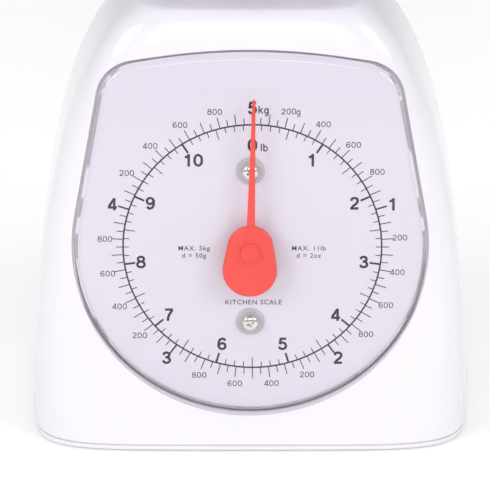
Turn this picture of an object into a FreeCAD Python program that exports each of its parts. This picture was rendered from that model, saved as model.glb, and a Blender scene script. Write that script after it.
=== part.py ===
"""Mechanical kitchen scale with a dial, a weighing bowl and a rack-and-pinion movement.

Frame: millimetres, +X right seen from the front, +Y back, +Z up. The origin is on the
surface the scale stands on, below the middle of the platform and the bowl.
"""
import FreeCAD, Part
import Sketcher
import math
import os
from FreeCAD import Placement, Rotation, Vector

doc = FreeCAD.newDocument("kitchen_scale")

# ---------------------------------------------------------------- driving dimensions
DIMENSIONS = {
    # dial, which leans back; its centre is the pointer axis
    "dial_centre_y": -29.0,
    "dial_centre_z": 84.0,
    "lean_angle": 5.0,
    "lens_radius": 68.9,
    "lens_apex": 80.3,
    "lens_top_radius": 232.0,
    "lens_corner_radius": 17.0,
    "lens_side_angle": 10.0,
    "lens_wall": 2.2,
    "lens_draft": 1.5,
    "lens_crown_radius": 600.0,
    "lens_crown_height": 11.5,
    "lens_window": 1.6,
    "dial_plate_thick": 1.2,
    "dial_screw_offset": 31.0,
    # housing
    "housing_half_width": 85.2,
    "housing_crown": 184.0,
    "housing_bottom": 2.5,
    "housing_top": 178.5,
    "housing_front": -39.85,
    "housing_back": 76.0,
    "back_slope_angle": 12.0,
    "wall": 2.4,
    # base
    "base_underside": 1.0,
    "base_top": 3.5,
    "foot_radius": 7.0,
    "foot_height": 2.2,
    # platform and bowl
    "neck_half_width": 24.0,
    "neck_half_depth": 7.0,
    "neck_foot": 160.0,
    "neck_wall": 2.0,
    "platform_underside": 194.0,
    "platform_top": 199.0,
    "platform_semi_x": 45.0,
    "platform_semi_y": 34.0,
    "bowl_semi_x": 103.0,
    "bowl_semi_y": 80.0,
    "bowl_top": 247.0,
    "bowl_wall": 2.0,
    # lever linkage
    "lever_pivot_y": 37.0,
    "carrier_pin_y": 1.0,
    "upper_lever_z": 134.0,
    "lower_lever_z": 40.0,
    "travel_middle": 6.25,
    "travel_full": 13.5,
    "pin_radius": 1.5,
    "pin_clearance": 0.06,
    "slot_clearance": 0.12,
    "lever_inside": 19.0,
    "sheet_thick": 1.5,
    "cheek_inside": 26.0,
    # movement
    "gear_module": 0.4,
    "pinion_teeth": 10.0,
    "rack_addendum": 0.22,
    "tooth_backlash": 0.12,
    "shaft_radius": 1.0,
    "shaft_clearance": 0.04,
    "pointer_length": 61.5,
    "pointer_rest_angle": 1.3,
    # springs and zero setting
    "wheel_centre_y": 29.0,
    "wheel_radius": 16.5,
    "wheel_underside": 147.0,
    "wheel_thick": 5.0,
    "spring_offset": 11.0,
    "spring_wire": 1.2,
    "spring_mean_radius": 3.9,
    "spring_turns": 22.0,
    "spring_pitch": 1.45,
    "spring_ring_radius": 3.0,
    "hanger_hole_z": 140.0,
    "spring_hole_radius": 1.5,
}

dims = doc.addObject("Spreadsheet::Sheet", "dims")
for row, (alias, number) in enumerate(DIMENSIONS.items(), start=1):
    dims.set(f"A{row}", alias)
    dims.set(f"B{row}", str(number))
    dims.setAlias(f"B{row}", alias)
doc.recompute()


def value(alias):
    """Read one driving dimension from the sheet."""
    return float(getattr(dims, alias))


def d(expression):
    """Turn plain aliases such as {wall} into references to the sheet."""
    return expression.replace("{", "dims.").replace("}", "")


# ---------------------------------------------------------------- building helpers
def bind(item, **expressions):
    for name, expression in expressions.items():
        item.setExpression(name.replace("_", "."), d(str(expression)))


def at(item, x="0", y="0", z="0"):
    """Bind the position of an object to the sheet."""
    item.setExpression("Placement.Base.x", d(str(x)))
    item.setExpression("Placement.Base.y", d(str(y)))
    item.setExpression("Placement.Base.z", d(str(z)))
    return item


def box(name, x, y, z, length, width, height):
    """Box from its lowest corner and its sizes."""
    item = doc.addObject("Part::Box", name)
    bind(item, Length=length, Width=width, Height=height)
    return at(item, x, y, z)


AXIS_TURN = {
    "x": Rotation(Vector(0, 1, 0), 90),
    "y": Rotation(Vector(1, 0, 0), -90),
    "z": Rotation(),
}


def rod(name, x, y, z, radius, height, axis="z"):
    """Cylinder that starts at a point and runs along +X, +Y or +Z."""
    item = doc.addObject("Part::Cylinder", name)
    item.Placement = Placement(Vector(), AXIS_TURN[axis])
    bind(item, Radius=radius, Height=height)
    return at(item, x, y, z)


def fuse(name, parts):
    item = doc.addObject("Part::MultiFuse", name)
    item.Shapes = parts
    item.Refine = True
    return item


def cut(name, base, tools):
    item = doc.addObject("Part::Cut", name)
    item.Base = base
    item.Tool = tools[0] if len(tools) == 1 else fuse(name + "_tools", tools)
    item.Refine = True
    return item


def feature(name, shape):
    item = doc.addObject("Part::Feature", name)
    item.Shape = shape
    return item


def dial_placement():
    """Dial frame: x right, y up the leaning face, z out of the face, zero on the dial."""
    centre = Vector(0, value("dial_centre_y"), value("dial_centre_z"))
    return Placement(centre, Rotation(Vector(1, 0, 0), 90 - value("lean_angle")))


nodes = {}


def node(item, label, on_dial=False):
    """Name a finished sub-part; one modelled in the dial frame is placed here."""
    item.Label = label
    if on_dial:
        item.Placement = dial_placement().multiply(item.Placement)
    nodes[label] = item
    return item


def turned(label, steps, bore=None):
    """PartDesign body of stacked round pads: steps are (radius, start, length) in z."""
    body = doc.addObject("PartDesign::Body", label + "_body")
    plane = [o for o in body.Origin.OriginFeatures if o.Role == "XY_Plane"][0]

    def disc_sketch(name, radius, start):
        sketch = body.newObject("Sketcher::SketchObject", name)
        sketch.AttachmentSupport = (plane, [""])
        sketch.MapMode = "FlatFace"
        sketch.addGeometry(Part.Circle(Vector(), Vector(0, 0, 1), 1.0), False)
        sketch.addConstraint(Sketcher.Constraint("Coincident", 0, 3, -1, 1))
        sketch.addConstraint(Sketcher.Constraint("Radius", 0, 1.0))
        sketch.setExpression("Constraints[1]", d(str(radius)))
        sketch.setExpression("AttachmentOffset.Base.z", d(str(start)))
        return sketch

    for number, (radius, start, length) in enumerate(steps):
        pad = body.newObject("PartDesign::Pad", f"{label}_pad{number}")
        pad.Profile = disc_sketch(f"{label}_disc{number}", radius, start)
        pad.setExpression("Length", d(str(length)))
    if bore is not None:
        doc.recompute()
        pocket = body.newObject("PartDesign::Pocket", label + "_bore")
        pocket.Profile = disc_sketch(label + "_bore_disc", bore, steps[0][1])
        pocket.Type = "ThroughAll"
        pocket.Midplane = True
    return body


# ---------------------------------------------------------------- housing shell
def plan_section(z, inset):
    """Closed plan curve of the housing at one height, drawn in by the inset."""
    crown = value("housing_crown") - inset
    share = z / crown
    half_width = (value("housing_half_width") - inset) * (1 - share ** 1.9) ** 0.25
    front = value("housing_front") + z * math.tan(math.radians(value("lean_angle"))) + inset
    back = value("housing_back") - z * math.tan(math.radians(value("back_slope_angle"))) - inset
    half_depth = (back - front) / 2 * (1 - share ** 14) ** 0.25
    points = []
    count = 48
    for number in range(count):
        angle = 2 * math.pi * (number + 0.5) / count
        cosine = math.cos(angle)
        sine = math.sin(angle)
        x = half_width * math.copysign(abs(cosine) ** (1 / 3), cosine)
        y = (front + back) / 2 + half_depth * math.copysign(abs(sine) ** (1 / 3), sine)
        points.append(Vector(x, y, z))
    curve = Part.BSplineCurve()
    curve.interpolate(points, PeriodicFlag=True)
    return Part.Wire([curve.toShape()])


def bell(bottom, top, inset):
    """Bell-shaped solid of the housing between two heights."""
    shares = [0, 0.16, 0.32, 0.47, 0.6, 0.71, 0.8, 0.87, 0.92, 0.955, 0.98, 1]
    wires = [plan_section(bottom + (top - bottom) * share, inset) for share in shares]
    return Part.makeLoft(wires, True, False)


def lens_outline(inset, height):
    """Lens outline in the dial frame: a large circle below, splayed sides, domed top."""
    radius = value("lens_radius") - inset
    corner = value("lens_corner_radius") - inset
    top_radius = value("lens_top_radius") - inset
    angle = math.radians(value("lens_side_angle"))
    normal = Vector(math.cos(angle), math.sin(angle), 0)
    along = Vector(-math.sin(angle), math.cos(angle), 0)
    top_centre = Vector(0, value("lens_apex") - value("lens_top_radius"), 0)
    start = normal * (radius - corner) - top_centre
    half = start.dot(along)
    reach = -half + math.sqrt(half ** 2 + (top_radius - corner) ** 2 - start.dot(start))
    corner_centre = normal * (radius - corner) + along * reach
    side_low = normal * radius
    side_high = corner_centre + normal * corner
    towards = (corner_centre - top_centre).normalize()
    top_end = top_centre + towards * top_radius
    corner_mid = corner_centre + (normal + towards).normalize() * corner

    def mirrored(point):
        return Vector(-point.x, point.y, 0)

    edges = [
        Part.LineSegment(side_low, side_high),
        Part.Arc(side_high, corner_mid, top_end),
        Part.Arc(top_end, Vector(0, top_centre.y + top_radius, 0), mirrored(top_end)),
        Part.Arc(mirrored(top_end), mirrored(corner_mid), mirrored(side_high)),
        Part.LineSegment(mirrored(side_high), mirrored(side_low)),
        Part.Arc(mirrored(side_low), Vector(0, -radius, 0), side_low),
    ]
    wire = Part.Wire([edge.toShape() for edge in edges])
    wire.translate(Vector(0, 0, height))
    return wire


def prism(wire, height):
    return Part.Face(wire).extrude(Vector(0, 0, height))


SCREW_POSTS = [(-68, -18), (68, -18), (-66, 54), (66, 54)]


def make_housing_shell():
    wall = value("wall")
    bottom = value("housing_bottom")
    top = value("housing_top")
    outer = bell(bottom, top, 0)
    inner = bell(bottom - 1, top - wall, wall)
    posts = []
    for x, y in SCREW_POSTS:
        side = math.copysign(1, x)
        post = Part.makeCylinder(4, 16, Vector(x, y, value("base_top")))
        rib = Part.makeBox(20, 2, 14, Vector(min(x, x + side * 20), y - 1, value("base_top") + 2))
        posts.append(post.fuse(rib).common(outer))
    shell = outer.cut(inner).fuse(posts)
    window = prism(lens_outline(-0.2, -12), 24)
    window.Placement = dial_placement()
    neck = rounded_bar(value("neck_half_width") + 0.9, value("neck_half_depth") + 0.9, 4, 165, 20)
    wheel_slot = Part.makeBox(25, 30, 6.4, Vector(-12.5, 34, value("wheel_underside") - 0.7))
    holes = []
    for x, y in SCREW_POSTS:
        holes.append(Part.makeCylinder(1.5, 12, Vector(x, y, value("base_top"))))
    shell = shell.cut([window, neck, wheel_slot] + holes)
    node(feature("housing_shell_shape", shell.removeSplitter()), "housing_shell")


def rounded_bar(half_x, half_y, corner, bottom, height):
    """Upright bar with a rounded rectangular section."""
    bar = Part.makeBox(2 * half_x, 2 * half_y, height, Vector(-half_x, -half_y, bottom))
    upright = [e for e in bar.Edges if abs(e.tangentAt(e.FirstParameter).z) > 0.9]
    return bar.makeFillet(corner, upright)


make_housing_shell()


# ---------------------------------------------------------------- base, feet and screws
FEET = [(-50, -16), (50, -16), (-50, 60), (50, 60)]
FRAME_SCREWS = [(-33, -10), (33, -10), (-33, 34), (33, 34)]


def make_base_plate():
    """Flush plate with a plug that locates it inside the shell."""
    low = value("base_underside")
    top = value("base_top")
    rim_height = value("housing_bottom") - low
    rim = Part.Face(plan_section(value("housing_bottom"), 0.15))
    rim.translate(Vector(0, 0, -rim_height))
    plate = rim.extrude(Vector(0, 0, rim_height))
    plug = Part.Face(plan_section(value("housing_bottom"), value("wall") + 0.3))
    plate = plate.fuse(plug.extrude(Vector(0, 0, top - value("housing_bottom"))))
    blank = feature("base_blank", plate.removeSplitter())
    bosses = [rod("base_boss", x, y, "{base_top}", "4.5", "8 - {base_top}") for x, y in FRAME_SCREWS]
    tools = [rod("foot_pocket", x, y, "0", "{foot_radius}", "{foot_height}") for x, y in FEET]
    tools += [rod("frame_pilot", x, y, "2.5", "1.5", "10") for x, y in FRAME_SCREWS]
    tools += [rod("base_clear", x, y, "0", "1.7", "8") for x, y in SCREW_POSTS]
    tools += [rod("base_sink", x, y, "0", "3.4", "2.4") for x, y in SCREW_POSTS]
    node(cut("base_cut", fuse("base_with_bosses", [blank] + bosses), tools), "base_plate")


def make_rubber_feet():
    feet = [rod("foot", x, y, "0", "{foot_radius} - 0.1", "{foot_height}") for x, y in FEET]
    node(fuse("feet", feet), "rubber_feet")


def pan_screw(name, x, y, head_base, head_radius, head_height, shank, length, up=True):
    """Pan-head screw with a cross recess; the shank runs away from the head."""
    sign = "" if up else "-"
    head_z = head_base if up else f"{head_base} - {head_height}"
    shank_z = f"{head_base} - {length}" if up else head_base
    head = rod(name + "_head", x, y, head_z, head_radius, head_height)
    body = rod(name + "_shank", x, y, shank_z, shank, length)
    slot_z = f"{head_base} + {head_height} * 0.55" if up else f"{head_base} - {head_height}"
    reach = f"{head_radius} * 0.6"
    bar_x = box(name + "_bar_x", f"{x} - {reach}", f"{y} - 0.4", slot_z, f"2 * {reach}", "0.8",
                f"{head_height} * 0.45")
    bar_y = box(name + "_bar_y", f"{x} - 0.4", f"{y} - {reach}", slot_z, "0.8", f"2 * {reach}",
                f"{head_height} * 0.45")
    return cut(name, fuse(name + "_blank", [head, body]), [bar_x, bar_y])


def make_base_and_frame_screws():
    base = [pan_screw("base_screw", x, y, "2.4", "3", "1.3", "1.5", "10", up=False) for x, y in SCREW_POSTS]
    node(fuse("base_screw_set", base), "base_screws")
    frame = [pan_screw("frame_screw", x, y, "9.5", "2.8", "1.6", "1.5", "6.5") for x, y in FRAME_SCREWS]
    node(fuse("frame_screw_set", frame), "frame_screws")


def make_travel_stop():
    steps = [("6", "{base_top}", "9"), ("4.5", "{base_top} + 9", "3.9")]
    stop = node(turned("travel_stop", steps), "travel_stop")
    at(stop, "0", "{carrier_pin_y}", "0")


make_base_plate()
make_rubber_feet()
make_base_and_frame_screws()
make_travel_stop()


# ---------------------------------------------------------------- dial, lens and their screws
def make_dial_plate():
    thick = value("dial_plate_thick")
    plate = feature("dial_blank", prism(lens_outline(1.2, -thick), thick))
    tools = [rod("shaft_hole", "0", "0", "-5", "2", "10")]
    for side in ("", "-"):
        tools.append(rod("dial_screw_hole", "0", side + "{dial_screw_offset}", "-5", "1.5", "10"))
    node(cut("dial_cut", plate, tools), "dial_plate", on_dial=True)


def make_dial_lens():
    """Tray-shaped lens: a lip around the dial plate, drafted walls and a crowned window."""
    wall = value("lens_wall")
    draft = value("lens_draft")
    crown = value("lens_crown_radius")
    top = value("lens_crown_height")
    lip = prism(lens_outline(0, -2.6), 4.1)
    upper = Part.makeLoft([lens_outline(0, 1.5), lens_outline(draft, 12.5)], True, True)
    dome = Part.makeSphere(crown, Vector(0, 0, top - crown))
    body = lip.fuse(upper).common(dome)
    hollow = Part.makeLoft([lens_outline(wall, 0), lens_outline(wall + draft, 12.5)], True, True)
    inner_dome = Part.makeSphere(crown, Vector(0, 0, top - value("lens_window") - crown))
    rebate = prism(lens_outline(0.9, -3), 3)
    hooks = []
    for x in (-22, 22):
        low_y = -math.sqrt(value("lens_radius") ** 2 - x ** 2)
        hooks.append(Part.makeBox(7, 3.1, 0.8, Vector(x - 3.5, low_y - 1.6, 0.05)))
        high_y = value("lens_apex") - x ** 2 / (2 * value("lens_top_radius"))
        hooks.append(Part.makeBox(7, 2.2, 1.2, Vector(x - 3.5, high_y - 0.6, -2.5)))
    lens = body.fuse(hooks).cut([hollow.common(inner_dome), rebate])
    node(feature("lens_shape", lens.removeSplitter()), "dial_lens", on_dial=True)


def make_dial_fasteners():
    washers = []
    screws = []
    for name, side in (("upper", ""), ("lower", "-")):
        y = side + "{dial_screw_offset}"
        disc = rod(name + "_washer_disc", "0", y, "0", "5.6", "0.9")
        step = rod(name + "_washer_step", "0", y, "0", "4.2", "1.5")
        hole = rod(name + "_washer_hole", "0", y, "-1", "1.5", "4")
        washers.append(cut(name + "_washer", fuse(name + "_washer_blank", [disc, step]), [hole]))
        screws.append(pan_screw(name + "_dial_screw", "0", y, "1.5", "3.25", "2", "1.5", "11"))
    node(fuse("dial_washer_set", washers), "dial_washers", on_dial=True)
    node(fuse("dial_screw_set", screws), "dial_screws", on_dial=True)


make_dial_plate()
make_dial_lens()
make_dial_fasteners()


# ---------------------------------------------------------------- mechanism frame
def cheek(x):
    """Side cheek of the folded frame, a sheet in the Y-Z plane with a large window."""
    outline = [(-25, 46.6), (-19.5, 120.4), (8, 150), (14, 155), (36, 155), (41, 141), (41, 60)]
    outline += [(44, 30), (44, 8), (-16, 8)]
    points = [Vector(x, y, z) for y, z in outline]
    sheet = Part.Face(Part.makePolygon(points + points[:1]))
    sheet = sheet.extrude(Vector(value("sheet_thick"), 0, 0))
    window = [(-12, 56), (-6, 112), (26, 128), (26, 56)]
    points = [Vector(x - 1, y, z) for y, z in window]
    opening = Part.Face(Part.makePolygon(points + points[:1])).extrude(Vector(6, 0, 0))
    return sheet.cut(opening)


def make_mechanism_frame():
    thick = "{sheet_thick}"
    left = feature("left_cheek", cheek(-value("cheek_inside") - value("sheet_thick")))
    right = feature("right_cheek", cheek(value("cheek_inside")))
    front = box("front_plate", "-{cheek_inside} - 1.5", "-37", "-7.2", "2 * {cheek_inside} + 3", "74", thick)
    posts = [rod("dial_post", "0", side + "{dial_screw_offset}", "-5.7", "4.5", "4.5") for side in ("", "-")]
    front_tools = [rod("front_bush_hole", "0", "0", "-9", "2.5", "6")]
    for side in ("", "-"):
        front_tools.append(rod("dial_post_hole", "0", side + "{dial_screw_offset}", "-12", "1.5", "14"))
    for x in (-17, 17):
        front_tools.append(rod("bridge_pilot", x, "0", "-9", "1", "6"))
    face = cut("front_face", fuse("front_blank", [front] + posts), front_tools)
    face.Placement = dial_placement()
    bridges = []
    for z in ("{wheel_underside} - 3", "{wheel_underside} + 6.5"):
        bridges.append(box("wheel_bridge", "-{cheek_inside} - 0.5", "14", z, "2 * {cheek_inside} + 1", "22", thick))
    flanges = []
    for x in ("-{cheek_inside} - 12", "{cheek_inside}"):
        for y in ("-16", "28"):
            flanges.append(box("foot_flange", x, y, "8", "12", "12", thick))
    tools = []
    for z in ("{upper_lever_z}", "{lower_lever_z}"):
        tools.append(rod("pin_hole", "-40", "{lever_pivot_y}", z, "{pin_radius}", "80", "x"))
    tools.append(rod("stud_hole", "0", "{wheel_centre_y}", "140", "2.6", "20"))
    tools += [rod("flange_hole", x, y, "7", "1.5", "4") for x, y in FRAME_SCREWS]
    blank = fuse("frame_blank", [left, right, face] + bridges + flanges)
    node(cut("frame_cut", blank, tools), "mechanism_frame")


def make_movement_bridge():
    """Bracket behind the front plate that holds the rear bush; legs clear the rack."""
    plate = box("bridge_plate", "-14", "-9", "-21", "28", "14", "1.5")
    legs = [box("bridge_leg", x, "-6", "-19.5", "1.5", "10", "12.3") for x in ("-14", "12.5")]
    feet = [box("bridge_foot", x, "-6", "-8.7", "7.5", "10", "1.5") for x in ("-20", "12.5")]
    tools = [rod("rear_bush_hole", "0", "0", "-22", "2.5", "4")]
    tools += [rod("bridge_foot_hole", x, "0", "-10", "1", "4") for x in (-17, 17)]
    blank = fuse("bridge_blank", [plate] + legs + feet)
    node(cut("bridge_cut", blank, tools), "movement_bridge", on_dial=True)
    screws = []
    for x in (-17, 17):
        screws.append(pan_screw("bridge_screw", x, "0", "-8.7", "2", "1", "1", "4", up=False))
    node(fuse("bridge_screw_set", screws), "bridge_screws", on_dial=True)


def make_bushes():
    bore = "{shaft_radius} + {shaft_clearance}"
    front = turned("front_bush", [("2.5", "-8.6", "3.4"), ("3.6", "-5.7", "0.9")], bore)
    node(front, "front_bush", on_dial=True)
    rear = turned("rear_bush", [("2.5", "-22", "2.5"), ("3.6", "-19.5", "0.7")], bore)
    node(rear, "rear_bush", on_dial=True)


make_mechanism_frame()
make_movement_bridge()
make_bushes()


# ---------------------------------------------------------------- levers and their pins
def lever(name, pivot_z):
    """Parallel link with two side arms; slots at the carrier end take up the arc."""
    reach = "({lever_pivot_y} - {carrier_pin_y})"
    arms = []
    tools = []
    for number, x in enumerate(("-{lever_inside} - {sheet_thick}", "{lever_inside}")):
        arms.append(box(f"{name}_arm{number}", x, f"-{reach}", "-3.5", "{sheet_thick}", reach, "7"))
        for end, y in enumerate(("0", f"-{reach}")):
            arms.append(rod(f"{name}_eye{number}{end}", x, y, "0", "3.5", "{sheet_thick}", "x"))
    arms.append(box(f"{name}_web", "-{lever_inside} - 1", f"-{reach} + 11", "2", "2 * {lever_inside} + 2", "8", "1.5"))
    tools.append(rod(f"{name}_pivot", "-30", "0", "0", "{pin_radius} + {pin_clearance}", "60", "x"))
    slot_radius = "({pin_radius} + {slot_clearance})"
    for shift in ("0.1", "-0.8"):
        tools.append(rod(f"{name}_slot", "-30", f"-{reach} + {shift}", "0", slot_radius, "60", "x"))
    tools.append(box(f"{name}_slot_gap", "-30", f"-{reach} - 0.8", f"-{slot_radius}", "60", "0.9", f"2 * {slot_radius}"))
    item = cut(name + "_cut", fuse(name + "_blank", arms), tools)
    rise = math.degrees(math.atan2(value("travel_middle"), value("lever_pivot_y") - value("carrier_pin_y")))
    item.Placement = Placement(Vector(), Rotation(Vector(1, 0, 0), -rise))
    at(item, "0", "{lever_pivot_y}", pivot_z)
    node(item, name)


def make_pins():
    for name, z in (("upper", "{upper_lever_z}"), ("lower", "{lower_lever_z}")):
        pin = rod(name + "_frame_pin_rod", "-29.5", "{lever_pivot_y}", z, "{pin_radius}", "59", "x")
        node(pin, name + "_frame_pin")
        z = z + " + {travel_middle}"
        pin = rod(name + "_carrier_pin_rod", "-22.7", "{carrier_pin_y}", z, "{pin_radius}", "45.4", "x")
        node(pin, name + "_carrier_pin")
    frame_clips = []
    carrier_clips = []
    for z in ("{upper_lever_z}", "{lower_lever_z}"):
        for x in ("-28.6", "27.8"):
            frame_clips.append(clip("frame_clip", x, "{lever_pivot_y}", z))
        for x in ("-22.2", "21.4"):
            carrier_clips.append(clip("carrier_clip", x, "{carrier_pin_y}", z + " + {travel_middle}"))
    node(fuse("frame_clip_set", frame_clips), "frame_pin_clips")
    node(fuse("carrier_clip_set", carrier_clips), "carrier_pin_clips")


def clip(name, x, y, z):
    """Retaining ring pushed on a pin's end."""
    ring = rod(name + "_disc", x, y, z, "2.9", "0.8", "x")
    return cut(name, ring, [rod(name + "_bore", x + " - 1", y, z, "{pin_radius}", "3", "x")])


lever("upper_lever", "{upper_lever_z}")
lever("lower_lever", "{lower_lever_z}")
make_pins()


# ---------------------------------------------------------------- load carrier and platform
SPRING_BODY = value("spring_turns") * value("spring_pitch")
RING_TOP = value("hanger_hole_z") - value("spring_hole_radius") + value("spring_wire") / 2 + 0.2
RING_DROP = 2 * value("spring_ring_radius")
COIL_TOP = RING_TOP - RING_DROP - 0.6
COIL_FOOT = COIL_TOP - SPRING_BODY - value("spring_wire")
LOWER_HOLE_Z = COIL_FOOT - 0.6 - RING_DROP + value("spring_wire") / 2 + 0.2 - value("spring_hole_radius")


def make_load_carrier():
    """Folded channel with pin ears, a tongue up to the platform and a spring yoke."""
    parts = [
        box("carrier_web", "-16.5", "-4.5", "30", "33", "1.5", "120"),
        box("carrier_tongue", "-14", "-4.5", "149", "28", "1.5", "45"),
        box("carrier_flange", "-14", "-4.5", "192.5", "28", "9.3", "1.5"),
        box("carrier_foot", "-16.5", "-4.5", "30", "33", "11", "1.5"),
        box("yoke_bar", "-16.5", "28.2", LOWER_HOLE_Z - 3, "33", "1.6", "6"),
    ]
    for x in ("-16.5", "15"):
        parts.append(box("carrier_side", x, "-4", "30", "1.5", "10", "120"))
        parts.append(box("yoke_arm", x, "0", LOWER_HOLE_Z - 3, "1.5", "29.8", "6"))
    arm = box("rack_arm", "3", "20", "-23.5", "6", "8", "7")
    arm_hole = rod("rack_arm_hole", "6", "24", "-22", "1.25", "8")
    arm = cut("rack_arm_cut", arm, [arm_hole])
    arm.Placement = dial_placement()
    tools = []
    for z in ("{upper_lever_z}", "{lower_lever_z}"):
        tools.append(rod("ear_hole", "-30", "{carrier_pin_y}", z + " + {travel_middle}", "{pin_radius}", "60", "x"))
    for side in (-1, 1):
        x = side * value("spring_offset")
        tools.append(rod("yoke_hole", x, "27", LOWER_HOLE_Z, "{spring_hole_radius}", "5", "y"))
        tools.append(rod("flange_pilot", side * 8, "1.5", "190", "1.5", "5"))
    node(cut("carrier_cut", fuse("carrier_blank", parts + [arm]), tools), "load_carrier")


def ellipse_wire(semi_x, semi_y, z):
    """Closed elliptic wire, the long way along X."""
    ellipse = Part.Ellipse(Vector(0, 0, z), semi_x, semi_y)
    return Part.Wire([ellipse.toShape()])


def ellipse_bar(semi_x, semi_y, z, height):
    return Part.Face(ellipse_wire(semi_x, semi_y, z)).extrude(Vector(0, 0, height))


def make_platform():
    """Oval plate with a raised edge and a hollow neck that passes into the housing."""
    under = value("platform_underside")
    top = value("platform_top")
    semi_x = value("platform_semi_x")
    semi_y = value("platform_semi_y")
    plate = ellipse_bar(semi_x, semi_y, under, top - under)
    tray = ellipse_bar(semi_x - 3, semi_y - 3, under + 3, top)
    neck = rounded_bar(value("neck_half_width"), value("neck_half_depth"), 4,
                       value("neck_foot"), under + 1 - value("neck_foot"))
    hollow = rounded_bar(value("neck_half_width") - value("neck_wall"),
                         value("neck_half_depth") - value("neck_wall"), 2,
                         value("neck_foot") - 1, under - value("neck_foot") + 1)
    body = feature("platform_blank", plate.cut(tray).fuse(neck).cut(hollow).removeSplitter())
    holes = [rod("platform_hole", side * 8, "1.5", "190", "1.5", "12") for side in (-1, 1)]
    node(cut("platform_cut", body, holes), "platform")
    screws = [pan_screw("platform_screw", side * 8, "1.5", "{platform_underside} + 3", "2.8", "1.4",
                        "1.5", "6") for side in (-1, 1)]
    node(fuse("platform_screw_set", screws), "platform_screws")


def make_weighing_bowl():
    """Oval bowl with an upright foot ring that drops over the platform."""
    floor = value("platform_top")
    rim = value("bowl_top")
    wall = value("bowl_wall")
    semi_x = value("bowl_semi_x")
    semi_y = value("bowl_semi_y")
    profile = [(0, 0.5), (0.12, 0.67), (0.3, 0.8), (0.6, 0.92), (1, 1)]

    def bowl_solid(inset, low, high):
        wires = []
        for rise, share in profile:
            x = semi_x * share - inset
            y = semi_y * (share - 0.03 * (1 - rise)) - inset
            wires.append(ellipse_wire(x, y, low + (high - low) * rise))
        return Part.makeLoft(wires, True, False)

    outer = bowl_solid(0, floor, rim)
    inner = bowl_solid(wall, floor + wall, rim)
    foot = ellipse_bar(value("platform_semi_x") + 2.6, value("platform_semi_y") + 2.6, floor - 2.5, 3.5)
    foot = foot.cut(ellipse_bar(value("platform_semi_x") + 0.5, value("platform_semi_y") + 0.5, floor - 3, 3))
    bowl = outer.fuse(foot).cut(inner)
    node(feature("bowl_shape", bowl.removeSplitter()), "weighing_bowl")


make_load_carrier()
make_platform()
make_weighing_bowl()


# ---------------------------------------------------------------- rack, pinion and pointer
PITCH_RADIUS = value("gear_module") * value("pinion_teeth") / 2
TOOTH_PITCH = math.pi * value("gear_module")
HALF_TOOTH = TOOTH_PITCH / 4 - value("tooth_backlash") / 4
PRESSURE = math.radians(20)


def make_pinion():
    """Involute pinion; flanks run straight to the root below the base circle."""
    base = PITCH_RADIUS * math.cos(PRESSURE)
    root = PITCH_RADIUS - 0.34
    tip = PITCH_RADIUS + 0.38
    involute_at_pitch = math.tan(PRESSURE) - PRESSURE
    half_angle = HALF_TOOTH / PITCH_RADIUS + involute_at_pitch
    points = []
    teeth = int(value("pinion_teeth"))
    for tooth in range(teeth):
        middle = 2 * math.pi * (tooth + 0.5) / teeth
        flank = [(root, half_angle)]
        for step in range(5):
            radius = base + (tip - base) * step / 4
            roll = math.sqrt((radius / base) ** 2 - 1)
            flank.append((radius, half_angle - (roll - math.atan(roll))))
        for radius, offset in flank:
            points.append(Vector(radius * math.cos(middle - offset), radius * math.sin(middle - offset), 0))
        for radius, offset in reversed(flank):
            points.append(Vector(radius * math.cos(middle + offset), radius * math.sin(middle + offset), 0))
    blank = Part.Face(Part.makePolygon(points + points[:1])).extrude(Vector(0, 0, 8.5))
    blank.translate(Vector(0, 0, -18.5))
    item = feature("pinion_blank", blank)
    node(cut("pinion_cut", item, [rod("pinion_bore", "0", "0", "-20", "{shaft_radius}", "12")]), "pinion", on_dial=True)


def make_rack():
    """Straight-flanked rack whose teeth run parallel to the pinion axis."""
    addendum = value("rack_addendum")
    dedendum = 0.5
    tip_left = PITCH_RADIUS - addendum
    root_left = PITCH_RADIUS + dedendum
    half_tip = HALF_TOOTH - addendum * math.tan(PRESSURE)
    half_root = HALF_TOOTH + dedendum * math.tan(PRESSURE)
    points = [Vector(6, -6, 0), Vector(root_left, -6, 0)]
    for tooth in range(-3, 14):
        middle = tooth * TOOTH_PITCH
        points.append(Vector(root_left, middle - half_root, 0))
        points.append(Vector(tip_left, middle - half_tip, 0))
        points.append(Vector(tip_left, middle + half_tip, 0))
        points.append(Vector(root_left, middle + half_root, 0))
    points += [Vector(root_left, 20, 0), Vector(3, 20, 0), Vector(3, 28, 0), Vector(9, 28, 0), Vector(9, 20, 0),
               Vector(6, 17, 0)]
    blank = Part.Face(Part.makePolygon(points + points[:1])).extrude(Vector(0, 0, 5))
    blank.translate(Vector(0, 0, -16.5))
    hole = rod("rack_hole", "6", "24", "-18", "1.25", "8")
    node(cut("rack_cut", feature("rack_blank", blank), [hole]), "rack", on_dial=True)
    pin = turned("rack_pin", [("1.25", "-21", "9.5"), ("2.2", "-11.5", "0.9")])
    node(pin, "rack_pin", on_dial=True)
    at(pin, "6", "{dial_centre_y} + 24 * sin({lean_angle} * 1deg)", "{dial_centre_z} + 24 * cos({lean_angle} * 1deg)")
    strip = [(9, 27), (9, 20), (8.2, 4), (6.05, 1), (6.05, 0), (6.5, 0.6), (8.6, 4), (9.35, 20), (9.35, 27)]
    points = [Vector(x, y, 0) for x, y in strip]
    spring = Part.Face(Part.makePolygon(points + points[:1])).extrude(Vector(0, 0, 3))
    spring.translate(Vector(0, 0, -15.5))
    node(feature("rack_spring_shape", spring), "rack_spring", on_dial=True)


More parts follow.
